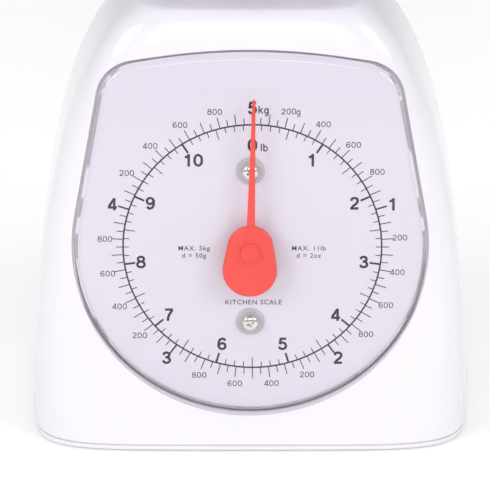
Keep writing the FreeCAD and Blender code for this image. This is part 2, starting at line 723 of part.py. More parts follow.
def make_pointer():
    """One-piece pointer: tapered needle, teardrop counterweight and a round boss."""
    length = value("pointer_length")
    needle = [(-1.7, 6), (1.7, 6), (0.55, length), (-0.55, length)]
    points = [Vector(x, y, 4.8) for x, y in needle]
    needle = Part.Face(Part.makePolygon(points + points[:1])).extrude(Vector(0, 0, 1))
    small = 8.9
    large = 10.55
    top = 1.4
    bottom = -8.0
    lean = math.asin((large - small) / (top - bottom))
    side = Vector(math.cos(lean), math.sin(lean), 0)
    right_low = Vector(0, bottom, 0) + side * large
    right_high = Vector(0, top, 0) + side * small
    edges = [
        Part.LineSegment(right_low, right_high),
        Part.Arc(right_high, Vector(0, top + small, 0), Vector(-right_high.x, right_high.y, 0)),
        Part.LineSegment(Vector(-right_high.x, right_high.y, 0), Vector(-right_low.x, right_low.y, 0)),
        Part.Arc(Vector(-right_low.x, right_low.y, 0), Vector(0, bottom - large, 0), right_low),
    ]
    wire = Part.Wire([edge.toShape() for edge in edges])
    wire.translate(Vector(0, 0, 4.4))
    hub = Part.Face(wire).extrude(Vector(0, 0, 2.6))
    hub = hub.makeFillet(1.1, [e for e in hub.Edges if e.BoundBox.ZMin > 6.9])
    boss = Part.makeCylinder(4, 4.4, Vector(0, 0, 4.4))
    boss = boss.makeFillet(0.8, [e for e in boss.Edges if e.BoundBox.ZMin > 8.7])
    bore = Part.makeCylinder(value("shaft_radius"), 4.2, Vector(0, 0, 4))
    pointer = hub.fuse([boss, needle]).cut(bore)
    pointer.rotate(Vector(), Vector(0, 0, 1), -value("pointer_rest_angle"))
    node(feature("pointer_shape", pointer), "pointer", on_dial=True)
    node(turned("pointer_shaft", [("{shaft_radius}", "-22.4", "30.4")]), "pointer_shaft", on_dial=True)


make_pinion()
make_rack()
make_pointer()


# ---------------------------------------------------------------- springs and zero setting
def spring_end(side, foot):
    """Wire from the end of the coil into the middle plane and round an open ring, up or down."""
    ring = value("spring_ring_radius")
    rise = ring + 1.2
    slope = value("spring_pitch") / (2 * math.pi * value("spring_mean_radius"))

    def place(x, y, z):
        return Vector(x, side * y, foot + side * z)

    lead = Part.BSplineCurve()
    lead.interpolate([place(value("spring_mean_radius"), 0, 0), place(0, ring, rise)],
                     InitialTangent=Vector(0, 6 * side, 6 * side * slope), FinalTangent=Vector(0, 0, 6 * side))
    turned_by = math.radians(250)
    middle, last = [place(0, ring * math.cos(angle), rise + ring * math.sin(angle))
                    for angle in (turned_by / 2, turned_by)]
    hook = Part.Arc(place(0, ring, rise), middle, last)
    return [hook.toShape(), lead.toShape()]


def make_main_spring(name, x):
    """Close-coiled extension spring swept in one piece, with an open ring at each end."""
    helix = Part.makeHelix(value("spring_pitch"), SPRING_BODY, value("spring_mean_radius"))
    edges = spring_end(-1, 0) + helix.Edges + spring_end(1, SPRING_BODY)[::-1]
    wire = Part.Wire(Part.__sortEdges__(edges))
    start = wire.OrderedVertexes[0].Point
    first = wire.OrderedEdges[0]
    ends = [first.FirstParameter, first.LastParameter]
    nearest = min(ends, key=lambda end: (first.valueAt(end) - start).Length)
    section = Part.Circle(start, first.tangentAt(nearest), value("spring_wire") / 2)
    spring = wire.makePipeShell([Part.Wire([section.toShape()])], True, False)
    spring.translate(Vector(x, value("wheel_centre_y"), COIL_FOOT + value("spring_wire") / 2))
    node(feature(name + "_shape", spring), name)


def make_zero_wheel():
    """Ribbed thumb wheel; its hub is threaded on the hanger's stud."""
    under = "{wheel_underside}"
    disc = rod("wheel_disc", "0", "0", under, "{wheel_radius}", "{wheel_thick}")
    tools = [rod("wheel_bore", "0", "0", "140", "2.55", "20")]
    ribs = 36
    for rib in range(ribs):
        angle = 360 * rib / ribs
        x = f"({{wheel_radius}} + 0.25) * cos({angle} * 1deg)"
        y = f"({{wheel_radius}} + 0.25) * sin({angle} * 1deg)"
        tools.append(rod("wheel_groove", x, y, under + " - 1", "0.7", "{wheel_thick} + 2"))
    wheel = cut("wheel_cut", disc, tools)
    node(at(wheel, "0", "{wheel_centre_y}", "0"), "zero_wheel")


def make_spring_hanger():
    y = "{wheel_centre_y} - 0.8"
    bar = box("hanger_bar", "-16", y, "{hanger_hole_z} - 3.2", "32", "1.6", "6.2")
    stud = rod("hanger_stud", "0", "{wheel_centre_y}", "{hanger_hole_z} + 1", "2.5", "18")
    tools = []
    for side in ("-", ""):
        tools.append(rod("hanger_hole", side + "{spring_offset}", "{wheel_centre_y} - 3", "{hanger_hole_z}",
                         "{spring_hole_radius}", "6", "y"))
    node(cut("hanger_cut", fuse("hanger_blank", [bar, stud]), tools), "spring_hanger")


make_main_spring("main_spring_left", -value("spring_offset"))
make_main_spring("main_spring_right", value("spring_offset"))
make_zero_wheel()
make_spring_hanger()


# ---------------------------------------------------------------- checks and files
doc.recompute()
for item in doc.Objects:
    if "Invalid" in item.State or "Error" in item.State:
        raise RuntimeError(f"{item.Name} did not recompute: {item.State}")
os.makedirs("parts", exist_ok=True)
for label, item in nodes.items():
    shape = item.Shape
    if shape.isNull() or not shape.isValid():
        raise RuntimeError(f"{label} has no valid shape")
    shape.exportStep(f"parts/{label}.step")
    print(f"{label:22s} solids {len(shape.Solids)}  volume {shape.Volume:10.1f} mm3")
print("nodes", len(nodes))
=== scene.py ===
"""Looks of the mechanical kitchen scale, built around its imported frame. Metres, +Z up, dial facing -Y."""
import math

import bpy
from mathutils import Matrix, Vector


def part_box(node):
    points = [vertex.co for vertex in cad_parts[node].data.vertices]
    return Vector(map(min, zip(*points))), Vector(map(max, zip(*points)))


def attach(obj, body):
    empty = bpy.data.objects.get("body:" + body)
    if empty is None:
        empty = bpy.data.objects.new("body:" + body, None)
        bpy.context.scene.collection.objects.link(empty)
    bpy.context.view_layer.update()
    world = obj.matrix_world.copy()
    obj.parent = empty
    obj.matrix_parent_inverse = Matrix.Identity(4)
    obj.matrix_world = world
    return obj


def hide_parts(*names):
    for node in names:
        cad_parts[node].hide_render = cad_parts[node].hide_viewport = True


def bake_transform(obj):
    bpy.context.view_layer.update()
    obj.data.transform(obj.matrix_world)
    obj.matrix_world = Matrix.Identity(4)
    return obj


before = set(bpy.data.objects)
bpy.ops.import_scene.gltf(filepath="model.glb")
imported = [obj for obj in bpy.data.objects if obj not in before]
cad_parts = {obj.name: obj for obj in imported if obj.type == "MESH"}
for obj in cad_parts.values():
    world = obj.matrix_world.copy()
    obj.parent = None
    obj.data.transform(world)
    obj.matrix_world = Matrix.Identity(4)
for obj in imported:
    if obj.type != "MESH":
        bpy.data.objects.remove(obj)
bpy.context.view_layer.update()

MM = 0.001

# ---------------------------------------------------------------- housing
# One glossy white ABS moulding, bell-shaped from the front and bowed in plan. The mould leaves a
# 2.4 mm wall, a leaning window for the dial, a neck opening on top and a slot for the zero wheel.


def only(thing):
    """Select one object and nothing else."""
    bpy.ops.object.select_all(action="DESELECT")
    thing.select_set(True)
    bpy.context.view_layer.objects.active = thing


def ringed(name, rings, smooth=35):
    """Closed skin: a circle primitive extruded ring by ring, each ring then set to its outline."""
    count = len(rings[0])
    bpy.ops.object.select_all(action="DESELECT")
    bpy.ops.mesh.primitive_circle_add(vertices=count, radius=1, fill_type="NGON")
    piece = bpy.context.object
    piece.name = name
    piece.data.name = name
    bpy.ops.object.mode_set(mode="EDIT")
    bpy.ops.mesh.select_all(action="SELECT")
    for _ in rings[1:]:
        bpy.ops.mesh.extrude_region_move(TRANSFORM_OT_translate={"value": (0, 0, 1)})
    bpy.ops.object.mode_set(mode="OBJECT")
    step = 2 * math.pi / count
    for vertex in piece.data.vertices:
        ring = round(vertex.co.z)
        place = round(math.atan2(vertex.co.y, vertex.co.x) / step) % count
        vertex.co = rings[ring][place]
    return finish_mesh(piece, smooth)


def finish_mesh(piece, smooth=35):
    """Normals outwards, place baked into the mesh, smooth shading up to an angle."""
    only(piece)
    bpy.ops.object.mode_set(mode="EDIT")
    bpy.ops.mesh.select_all(action="SELECT")
    bpy.ops.mesh.remove_doubles(threshold=1e-7)
    bpy.ops.mesh.normals_make_consistent(inside=False)
    bpy.ops.object.mode_set(mode="OBJECT")
    bpy.ops.object.transform_apply(location=True, rotation=True, scale=True)
    bpy.ops.object.shade_smooth_by_angle(angle=math.radians(smooth))
    return piece


def carve(piece, cutters, operation="DIFFERENCE"):
    """Boolean the cutters with a piece and delete them."""
    for cutter in cutters:
        only(piece)
        tool = piece.modifiers.new("carve", "BOOLEAN")
        tool.operation = operation
        tool.solver = "EXACT"
        tool.object = cutter
        bpy.ops.object.modifier_apply(modifier=tool.name)
        bpy.data.objects.remove(cutter)
    return piece


class Term:
    """A shader socket whose arithmetic adds Math nodes."""

    def __init__(self, tree, socket):
        self.tree = tree
        self.socket = socket

    def join(self, operation, first, second):
        node = self.tree.nodes.new("ShaderNodeMath")
        node.operation = operation
        for slot, operand in zip(node.inputs, (first, second)):
            if isinstance(operand, Term):
                self.tree.links.new(operand.socket, slot)
            else:
                slot.default_value = operand
        return Term(self.tree, node.outputs[0])

    def __add__(self, other):
        return self.join("ADD", self, other)

    def __sub__(self, other):
        return self.join("SUBTRACT", self, other)

    def __rsub__(self, other):
        return self.join("SUBTRACT", other, self)

    def __mul__(self, other):
        return self.join("MULTIPLY", self, other)

    __radd__ = __add__
    __rmul__ = __mul__


class Finish:
    """A material whose nodes are added by one method."""

    def __init__(self, name):
        self.material = bpy.data.materials.new(name)
        self.material.use_nodes = True
        self.tree = self.material.node_tree
        self.tree.nodes.clear()
        self.end = self.tree.nodes.new("ShaderNodeOutputMaterial")

    def node(self, kind, settings=None, out=0, **sockets):
        node = self.tree.nodes.new("ShaderNode" + kind)
        for key, setting in (settings or {}).items():
            setattr(node, key, setting)
        for key, value in sockets.items():
            slot = node.inputs[key.replace("_", " ")]
            if isinstance(value, Term):
                self.tree.links.new(value.socket, slot)
            else:
                slot.default_value = value
        return Term(self.tree, node.outputs[out])

    def place(self):
        return self.node("TexCoord", out="Object")

    def noise(self, scale, detail=3.0):
        return self.node("TexNoise", Vector=self.place(), Scale=scale, Detail=detail)

    def mix(self, factor, first, second):
        blend = self.node("Mix", {"data_type": "RGBA"}, out=2)
        mixer = blend.socket.node
        for slot, value in ((mixer.inputs[0], factor), (mixer.inputs[6], first), (mixer.inputs[7], second)):
            if isinstance(value, Term):
                self.tree.links.new(value.socket, slot)
            else:
                slot.default_value = value
        return blend

    def bump(self, height, strength, distance):
        return self.node("Bump", Height=height, Strength=strength, Distance=distance)

    def surface(self, shader):
        self.tree.links.new(shader.socket, self.end.inputs["Surface"])
        return self.material


def moulded(name, low, high, roughness=0.16, coat=0.4, ripple=0.05):
    """Injection-moulded gloss plastic: faint colour drift, sink ripple and fine handling haze."""
    finish = Finish(name)
    drift = finish.noise(14, 2)
    haze = finish.noise(240, 4)
    colour = finish.mix(drift, low, high)
    normal = finish.bump(finish.noise(55, 2) + haze * 0.15, ripple, 0.0006)
    shader = finish.node(
        "BsdfPrincipled", Base_Color=colour, Roughness=haze * 0.08 + (roughness - 0.04), Normal=normal
    )
    shader.socket.node.inputs["Coat Weight"].default_value = coat
    shader.socket.node.inputs["Coat Roughness"].default_value = 0.06
    return finish.surface(shader)


white_abs = moulded("white_abs", (0.755, 0.735, 0.785, 1), (0.775, 0.755, 0.805, 1), coat=0.2)


def paint(thing, material):
    """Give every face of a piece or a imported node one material."""
    thing.data.materials.clear()
    thing.data.materials.append(material)


def settle(piece, body, material, slot, *nodes):
    """Paint a piece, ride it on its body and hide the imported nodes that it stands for."""
    paint(piece, material)
    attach(piece, body)
    if nodes:
        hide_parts(*nodes)
    return piece


lean = math.radians(5)
dial_centre = Vector((0, -29 * MM, 84 * MM))
on_dial = Matrix.Translation(dial_centre) @ Matrix.Rotation(math.pi / 2 - lean, 4, "X")

shell_low, shell_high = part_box("housing_shell")
half_width = 85.2 * MM
crown = 184 * MM
front_foot = -39.85 * MM
back_foot = 76 * MM
shell_wall = 2.4 * MM


def plan_ring(z, inset, shrink=1.0, count=160):
    """Plan curve of the housing at one height, as a rounded rectangle of sixth power."""
    share = z / (crown - inset)
    wide = (half_width - inset) * (1 - share**1.9) ** 0.25 * shrink
    front = front_foot + z * math.tan(lean) + inset
    back = back_foot - z * math.tan(math.radians(12)) - inset
    deep = (back - front) / 2 * (1 - share**14) ** 0.25 * shrink
    ring = []
    for number in range(count):
        angle = 2 * math.pi * number / count
        cosine = math.cos(angle)
        sine = math.sin(angle)
        x = wide * math.copysign(abs(cosine) ** (1 / 3), cosine)
        y = (front + back) / 2 + deep * math.copysign(abs(sine) ** (1 / 3), sine)
        ring.append(Vector((x, y, z)))
    return ring


def lifted(ring, z):
    return [Vector((point.x, point.y, z)) for point in ring]


def wall_heights(low, high, levels=46):
    """Levels from low to high, closer together towards the crown."""
    return [low + (high - low) * (1 - (1 - step / levels) ** 1.8) for step in range(levels + 1)]


outside = wall_heights(shell_low.z + 0.8 * MM, shell_high.z - 0.7 * MM)
inside = wall_heights(shell_low.z, shell_high.z - shell_wall)
shell_rings = [lifted(plan_ring(outside[-1], 0, shrink), shell_high.z) for shrink in (0.02, 0.4, 0.8, 0.93)]
shell_rings.append(lifted(plan_ring(outside[-1], 0, 0.975), shell_high.z - 0.25 * MM))
shell_rings += [plan_ring(z, 0) for z in reversed(outside)]
shell_rings.append(lifted(plan_ring(shell_low.z, 0.7 * MM), shell_low.z))
shell_rings += [plan_ring(z, shell_wall) for z in inside]
shell_rings += [
    lifted(plan_ring(inside[-1], shell_wall, shrink), inside[-1]) for shrink in (0.8, 0.4, 0.02)
]
housing = ringed("housing", shell_rings, 40)


def lens_outline(inset, depth=0.0, shrink=1.0):
    """Outline of the lens on the dial: a large arc below, splayed sides, rounded corners, domed top."""
    radius = 68.9 * MM - inset
    corner = 17 * MM - inset
    dome = 232 * MM - inset
    splay = math.radians(10)
    normal = Vector((math.cos(splay), math.sin(splay)))
    along = Vector((-math.sin(splay), math.cos(splay)))
    dome_centre = Vector((0, (80.3 - 232) * MM))
    start = normal * (radius - corner) - dome_centre
    half = start.dot(along)
    reach = -half + math.sqrt(half**2 + (dome - corner) ** 2 - start.dot(start))
    corner_centre = normal * (radius - corner) + along * reach
    turn = math.atan2(corner_centre.y - dome_centre.y, corner_centre.x)
    right = []

    def arc(centre, size, begin, end, steps):
        for step in range(steps):
            angle = begin + (end - begin) * step / steps
            right.append(centre + Vector((math.cos(angle), math.sin(angle))) * size)

    arc(Vector((0, 0)), radius, -math.pi / 2, splay, 44)
    for step in range(12):
        right.append(normal * radius + along * (reach * step / 12))
    arc(corner_centre, corner, splay, turn, 24)
    arc(dome_centre, dome, turn, math.pi / 2, 16)
    left = [Vector((-point.x, point.y)) for point in reversed(right[1:])]
    top = [Vector((0, dome_centre.y + dome))]
    return [Vector((point.x * shrink, point.y * shrink, depth)) for point in right + top + left]


def dial_ringed(name, rings, smooth=35):
    """Ringed piece whose rings are given in the dial's own frame."""
    return ringed(name, [[on_dial @ point for point in ring] for ring in rings], smooth)


def rounded_ring(half_x, half_y, corner, z, steps=8):
    """Rounded rectangle about the Z axis."""
    ring = []
    for quarter, (sx, sy) in enumerate(((1, 1), (-1, 1), (-1, -1), (1, -1))):
        for step in range(steps):
            angle = math.pi / 2 * (quarter + step / (steps - 1))
            x = sx * (half_x - corner) + corner * math.cos(angle)
            y = sy * (half_y - corner) + corner * math.sin(angle)
            ring.append(Vector((x, y, z)))
    return ring


window_play = 0.2 * MM
window_reach = 14 * MM
window_cutter = dial_ringed(
    "window_cutter", [lens_outline(-window_play, depth) for depth in (-window_reach, window_reach)]
)
neck_cutter = ringed("neck_cutter", [rounded_ring(24.9 * MM, 7.9 * MM, 4 * MM, z * MM) for z in (165, 190)])
slot_cutter = ringed(
    "slot_cutter", [rounded_ring(12.5 * MM, 15 * MM, 1 * MM, z * MM) for z in (146.3, 152.7)]
)
slot_cutter.data.transform(Matrix.Translation((0, 49 * MM, 0)))
carve(housing, [window_cutter, neck_cutter, slot_cutter])


def lens_prism(name, inset, low, high):
    """Straight plug with the lens's outline."""
    return dial_ringed(name, [lens_outline(inset * MM, depth * MM) for depth in (low, high)])


seat = lens_prism("lens_seat", -1.8, -4.3, 4)
inner_bell = ringed("inner_bell", [plan_ring(z, 0.8 * MM) for z in wall_heights(6 * MM, 174 * MM)])
carve(seat, [lens_prism("seat_collar", -0.15, -2.8, 8)])
carve(seat, [lens_prism("plate_land", 1.0, -4, -1.3)], "UNION")
carve(seat, [lens_prism("seat_hollow", 3.2, -8, 0)])
carve(seat, [inner_bell], "INTERSECT")
settle(seat, "housing", white_abs, "white_housing")
only(housing)
bpy.ops.object.shade_smooth_by_angle(angle=math.radians(32))
settle(housing, "housing", white_abs, "white_housing", "housing_shell")

# ---------------------------------------------------------------- base, feet and fasteners
# The base is a flush moulded plate plugged into the shell and held by four recessed screws. Four
# soft rubber discs sit in its pockets. The zinc-plated screws are cold-headed with a cross recess.

paint(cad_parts["base_plate"], white_abs)


def rubber(name):
    """Dull black rubber with moulding dust."""
    finish = Finish(name)
    dust = finish.noise(900, 5)
    colour = finish.mix(dust, (0.018, 0.018, 0.019, 1), (0.05, 0.048, 0.046, 1))
    shader = finish.node(
        "BsdfPrincipled",
        Base_Color=colour,
        Roughness=dust * 0.2 + 0.62,
        Normal=finish.bump(dust, 0.3, 0.0003),
    )
    return finish.surface(shader)


def metal(name, low, high, roughness, scale, stretch=(1, 1, 1), ripple=0.08):
    """Metal with grain, streaked along an axis where it was drawn or rolled."""
    finish = Finish(name)
    grain_place = finish.node("Mapping", Vector=finish.place(), Scale=stretch)
    grain = finish.node("TexNoise", Vector=grain_place, Scale=scale, Detail=4.0)
    colour = finish.mix(grain, low, high)
    shader = finish.node(
        "BsdfPrincipled",
        Base_Color=colour,
        Metallic=1.0,
        Roughness=grain * 0.16 + (roughness - 0.08),
        Normal=finish.bump(grain, ripple, 0.0002),
    )
    return finish.surface(shader)


black_rubber = rubber("black_rubber")
zinc = metal("zinc_plate", (0.55, 0.57, 0.6, 1), (0.74, 0.74, 0.73, 1), 0.34, 420)
for name in ("rubber_feet", "travel_stop"):
    paint(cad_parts[name], black_rubber)
for name in ("base_screws", "frame_screws", "bridge_screws", "platform_screws"):
    paint(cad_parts[name], zinc)

# ---------------------------------------------------------------- dial plate and its print
# A stiff white plate printed in dark ink: kilograms outside a ring, pounds and ounces inside it.
# The ring is 100 mm across; one turn is 5 kg or 11 lb.


def printed_plate():
    finish = Finish("dial_plate_white")
    drift = finish.noise(18, 2)
    tooth = finish.noise(1500, 3)
    colour = finish.mix(drift, (0.685, 0.661, 0.728, 1), (0.709, 0.685, 0.751, 1))
    shader = finish.node(
        "BsdfPrincipled",
        Base_Color=colour,
        Roughness=tooth * 0.1 + 0.42,
        Normal=finish.bump(tooth, 0.04, 0.0002),
    )
    return finish.surface(shader)


def ink_finish():
    finish = Finish("dial_ink")
    tooth = finish.noise(2500, 3)
    colour = finish.mix(tooth, (0.008, 0.007, 0.009, 1), (0.02, 0.017, 0.02, 1))
    return finish.surface(finish.node("BsdfPrincipled", Base_Color=colour, Roughness=tooth * 0.2 + 0.4))


ink = ink_finish()
paint(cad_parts["dial_plate"], printed_plate())
ring_radius = 50 * MM
ink_height = 0.05 * MM
ink_sink = 0.02 * MM


def joined(name, pieces):
    """Join several meshes into one piece."""
    bpy.ops.object.select_all(action="DESELECT")
    for piece in pieces:
        piece.select_set(True)
    bpy.context.view_layer.objects.active = pieces[0]
    bpy.ops.object.join()
    whole = bpy.context.object
    whole.name = name
    whole.data.name = name
    return whole


def bar_mark():
    """Unit bar of ink along +Y, from a cube primitive; copies are scaled to each mark."""
    bpy.ops.object.select_all(action="DESELECT")
    bpy.ops.mesh.primitive_cube_add(size=1, location=(0, 0.5, 0.5))
    bpy.ops.object.transform_apply(location=True)
    return bpy.context.object


def mark_at(pattern, angle, low, high, width):
    """Copy of the bar between two radii at a clockwise angle from the top."""
    mark = pattern.copy()
    mark.data = pattern.data.copy()
    bpy.context.collection.objects.link(mark)
    size = Matrix.Diagonal((width, high - low, ink_height, 1))
    mark.data.transform(Matrix.Rotation(-angle, 4, "Z") @ Matrix.Translation((0, low, -ink_sink)) @ size)
    return mark


def dial_place(thing):
    """Move a mesh modelled flat on the XY plane onto the dial, where the printing sits a little right."""
    thing.data.transform(on_dial @ Matrix.Translation((0.8 * MM, -0.3 * MM, 0)))
    return thing


bar = bar_mark()
marks = []
for division in range(100):
    outer = 54.5 if division % 2 == 0 else 52.8
    width = 0.66 if division % 20 == 0 else 0.36
    marks.append(mark_at(bar, math.radians(3.6 * division), ring_radius, outer * MM, width * MM))
for division in range(88):
    inner = 45.8 if division % 4 == 0 else 47.7
    width = 0.8 if division % 8 == 0 else 0.34
    marks.append(mark_at(bar, 2 * math.pi * division / 88, inner * MM, ring_radius, width * MM))
bpy.data.objects.remove(bar)
divisions = dial_place(joined("dial_divisions", marks))
settle(divisions, "housing", ink, "dial_print")

bpy.ops.object.select_all(action="DESELECT")
bpy.ops.mesh.primitive_torus_add(
    major_radius=ring_radius, minor_radius=0.32 * MM, major_segments=180, minor_segments=8
)
dial_ring = bpy.context.object
dial_ring.name = "dial_ring"
dial_ring.data.transform(Matrix.Diagonal((1, 1, 0.16, 1)))
settle(dial_place(dial_ring), "housing", ink, "dial_print")


def lettering(text, x, y, size, weight, spacing):
    """Flat inked letters centred on a point of the dial, a cap height of about 0.73 of the size."""
    bpy.ops.object.select_all(action="DESELECT")
    bpy.ops.object.text_add()
    letters = bpy.context.object
    letters.data.body = text
    letters.data.size = size
    letters.data.offset = weight
    letters.data.space_character = spacing
    letters.data.align_x = "CENTER"
    letters.data.align_y = "CENTER"
    letters.data.extrude = ink_height / 2
    letters.data.resolution_u = 4
    bpy.ops.object.convert(target="MESH")
    place = Matrix.Translation((x, y, ink_height / 2 - ink_sink))
    letters.data.transform(place)
    return letters


def around(radius, angle):
    return radius * math.sin(angle), radius * math.cos(angle)


def pen(name, strokes, width):
    """Ink strokes of one width: Bezier paths with a round bevel, meshed and pressed flat."""
    path = bpy.data.curves.new(name, "CURVE")
    path.dimensions = "3D"
    path.bevel_depth = width / 2
    path.bevel_resolution = 1
    path.resolution_u = 6
    path.use_fill_caps = True
    for kind, points in strokes:
        line = path.splines.new("BEZIER")
        line.bezier_points.add(len(points) - 1)
        line.use_cyclic_u = kind == "loop"
        for knot, point in zip(line.bezier_points, points):
            knot.handle_left_type = knot.handle_right_type = "VECTOR" if kind == "line" else "AUTO"
            knot.co = (*point, 0)
    drawn = bpy.data.objects.new(name, path)
    bpy.context.collection.objects.link(drawn)
    only(drawn)
    bpy.ops.object.convert(target="MESH")
    drawn = bpy.context.object
    drawn.data.transform(Matrix.Translation((0, 0, ink_height / 4)) @ Matrix.Diagonal((1, 1, 0.06, 1)))
    return drawn


figure_shapes = {
    "0": [("loop", [(0.36, 0.92), (0.15, 0.78), (0.095, 0.5), (0.15, 0.22), (0.36, 0.08), (0.57, 0.22),
                    (0.625, 0.5), (0.57, 0.78)])],
    "1": [("line", [(0.14, 0.72), (0.32, 0.80), (0.43, 0.93)]), ("line", [(0.43, 1.0), (0.43, 0.0)])],
    "2": [("bend", [(0.11, 0.70), (0.18, 0.86), (0.36, 0.915), (0.55, 0.85), (0.60, 0.69), (0.50, 0.49),
                    (0.26, 0.27), (0.12, 0.09)]), ("line", [(0.04, 0.085), (0.66, 0.085)])],
    "3": [("bend", [(0.11, 0.73), (0.19, 0.87), (0.36, 0.915), (0.53, 0.84), (0.56, 0.70), (0.47, 0.58),
                    (0.28, 0.535)]),
          ("bend", [(0.28, 0.535), (0.51, 0.48), (0.61, 0.31), (0.54, 0.15), (0.35, 0.085), (0.17, 0.14),
                    (0.09, 0.28)])],
    "4": [("line", [(0.51, 0.0), (0.51, 1.0)]), ("line", [(0.50, 0.95), (0.09, 0.31)]),
          ("line", [(0.03, 0.25), (0.70, 0.25)])],
    "5": [("line", [(0.63, 0.915), (0.20, 0.915)]), ("line", [(0.22, 0.97), (0.14, 0.47)]),
          ("bend", [(0.13, 0.50), (0.33, 0.60), (0.54, 0.52), (0.61, 0.34), (0.53, 0.15), (0.34, 0.085),
                    (0.17, 0.13), (0.08, 0.26)])],
    "6": [("bend", [(0.60, 0.76), (0.52, 0.88), (0.38, 0.915), (0.19, 0.81), (0.10, 0.5), (0.15, 0.2),
                    (0.36, 0.085), (0.56, 0.17), (0.61, 0.32), (0.55, 0.49), (0.38, 0.55), (0.2, 0.47),
                    (0.11, 0.34)])],
    "7": [("line", [(0.05, 0.915), (0.66, 0.915)]),
          ("bend", [(0.62, 0.87), (0.44, 0.62), (0.31, 0.32), (0.26, 0.0)])],
    "8": [("loop", [(0.36, 0.92), (0.20, 0.87), (0.14, 0.74), (0.20, 0.60), (0.36, 0.54), (0.52, 0.60),
                    (0.58, 0.74), (0.52, 0.87)]),
          ("loop", [(0.36, 0.54), (0.17, 0.47), (0.09, 0.31), (0.17, 0.14), (0.36, 0.08), (0.55, 0.14),
                    (0.63, 0.31), (0.55, 0.47)])],
}
figure_shapes["k"] = [("line", [(0.12, 0), (0.12, 1)]), ("line", [(0.54, 0.70), (0.14, 0.30)]),
                      ("line", [(0.28, 0.42), (0.58, 0)])]
figure_shapes["g"] = [("loop", [(0.30, 0.63), (0.15, 0.55), (0.10, 0.33), (0.15, 0.11), (0.30, 0.03),
                                (0.45, 0.11), (0.50, 0.33), (0.45, 0.55)]),
                      ("line", [(0.52, 0.68), (0.52, -0.08)]),
                      ("bend", [(0.52, -0.06), (0.46, -0.22), (0.30, -0.27), (0.13, -0.19)])]
figure_shapes["l"] = [("line", [(0.36, 0), (0.36, 1)])]
figure_shapes["b"] = [("line", [(0.10, 0), (0.10, 1)]),
                      ("loop", [(0.31, 0.63), (0.16, 0.55), (0.11, 0.33), (0.16, 0.11), (0.31, 0.03),
                                (0.47, 0.11), (0.53, 0.33), (0.47, 0.55)])]
figure_shapes["9"] = [(kind, [(0.72 - x, 1 - y) for x, y in points]) for kind, points in figure_shapes["6"]]


def figures(number, x, y, height, step=0.79):
    """Strokes of a number centred on a point of the dial."""
    strokes = []
    start = x - height * (0.36 + step * (len(number) - 1) / 2)
    for place, digit in enumerate(number):
        for kind, points in figure_shapes[digit]:
            shifted = [(start + height * (step * place + px), y + height * (py - 0.5)) for px, py in points]
            strokes.append((kind, shifted))
    return strokes


bold_height = 5.1 * MM
bold = []
for kilogram in range(5):
    x, y = around(56.8 * MM, math.radians(72 * kilogram))
    bold += figures(str(kilogram or 5), x, y, bold_height)
for pound in range(11):
    angle = 2 * math.pi * pound / 11
    x, y = around((41.7 + 1.9 * math.sin(angle) ** 2) * MM, angle)
    bold += figures(str(pound), x, y, bold_height)
light = []
for step in range(25):
    if step % 5:
        x, y = around(57.1 * MM, math.radians(14.4 * step - 0.3))
        light += figures(str(step % 5 * 200), x, y, 2.5 * MM, 0.8)
light += figures("g", 17.75 * MM, 55.35 * MM, 2.7 * MM)
units = figures("kg", 4.4 * MM, 56.1 * MM, 3.1 * MM, 0.72)
units += figures("lb", 4.3 * MM, 40.8 * MM, 3.1 * MM, 0.56)
numerals = [pen("bold_figures", bold, 0.98 * MM), pen("light_figures", light, 0.32 * MM)]
numerals.append(pen("unit_letters", units, 0.46 * MM))
small_print = [("MAX. 5kg", -22.6, -0.6), ("d = 50g", -22.6, -3.6), ("MAX. 11lb", 21.8, -0.6),
               ("d = 2oz", 21.8, -3.6), ("KITCHEN SCALE", 0.4, -22.9)]
small_size = 2.7 * MM
small_weight = 0.02 * MM
for text, x, y in small_print:
    numerals.append(lettering(text, x * MM, y * MM, small_size, small_weight, 1.14))
dial_text = dial_place(joined("dial_numerals", numerals))
settle(dial_text, "housing", ink, "dial_print")

# ---------------------------------------------------------------- dial screws and washers
# Nickel-plated pan-head screws through clear moulded washers hold the dial plate to the frame.


def circle(radius, z, count=48, x=0.0, y=0.0):
    """Round ring about a vertical axis through x, y."""
    return [
        Vector((
            x + radius * math.cos(2 * math.pi * n / count),
            y + radius * math.sin(2 * math.pi * n / count),
            z,
        ))
        for n in range(count)
    ]


def lathe(name, profile, x=0.0, y=0.0, count=48, smooth=35, on_face=False):
    """Turned piece from (radius, height) pairs."""
    rings = [circle(max(radius, 1e-5), z, count, x, y) for radius, z in profile]
    return dial_ringed(name, rings, smooth) if on_face else ringed(name, rings, smooth)


def cross_recess(x, y, top, depth, reach, width):
    """Two tapered blades that sink a cross recess."""
    blades = []
    for turn in (0, math.pi / 2):
        low = rounded_ring(reach * 0.45, width * 0.35, width * 0.1, -depth)
        high = rounded_ring(reach, width * 0.55, width * 0.1, 0.4 * MM)
        blade = ringed("blade", [low, high])
        turned = Matrix.Rotation(turn + 0.35, 4, "Z")
        blade.data.transform(on_dial @ Matrix.Translation((x, y, top)) @ turned)
        blades.append(blade)
    return blades


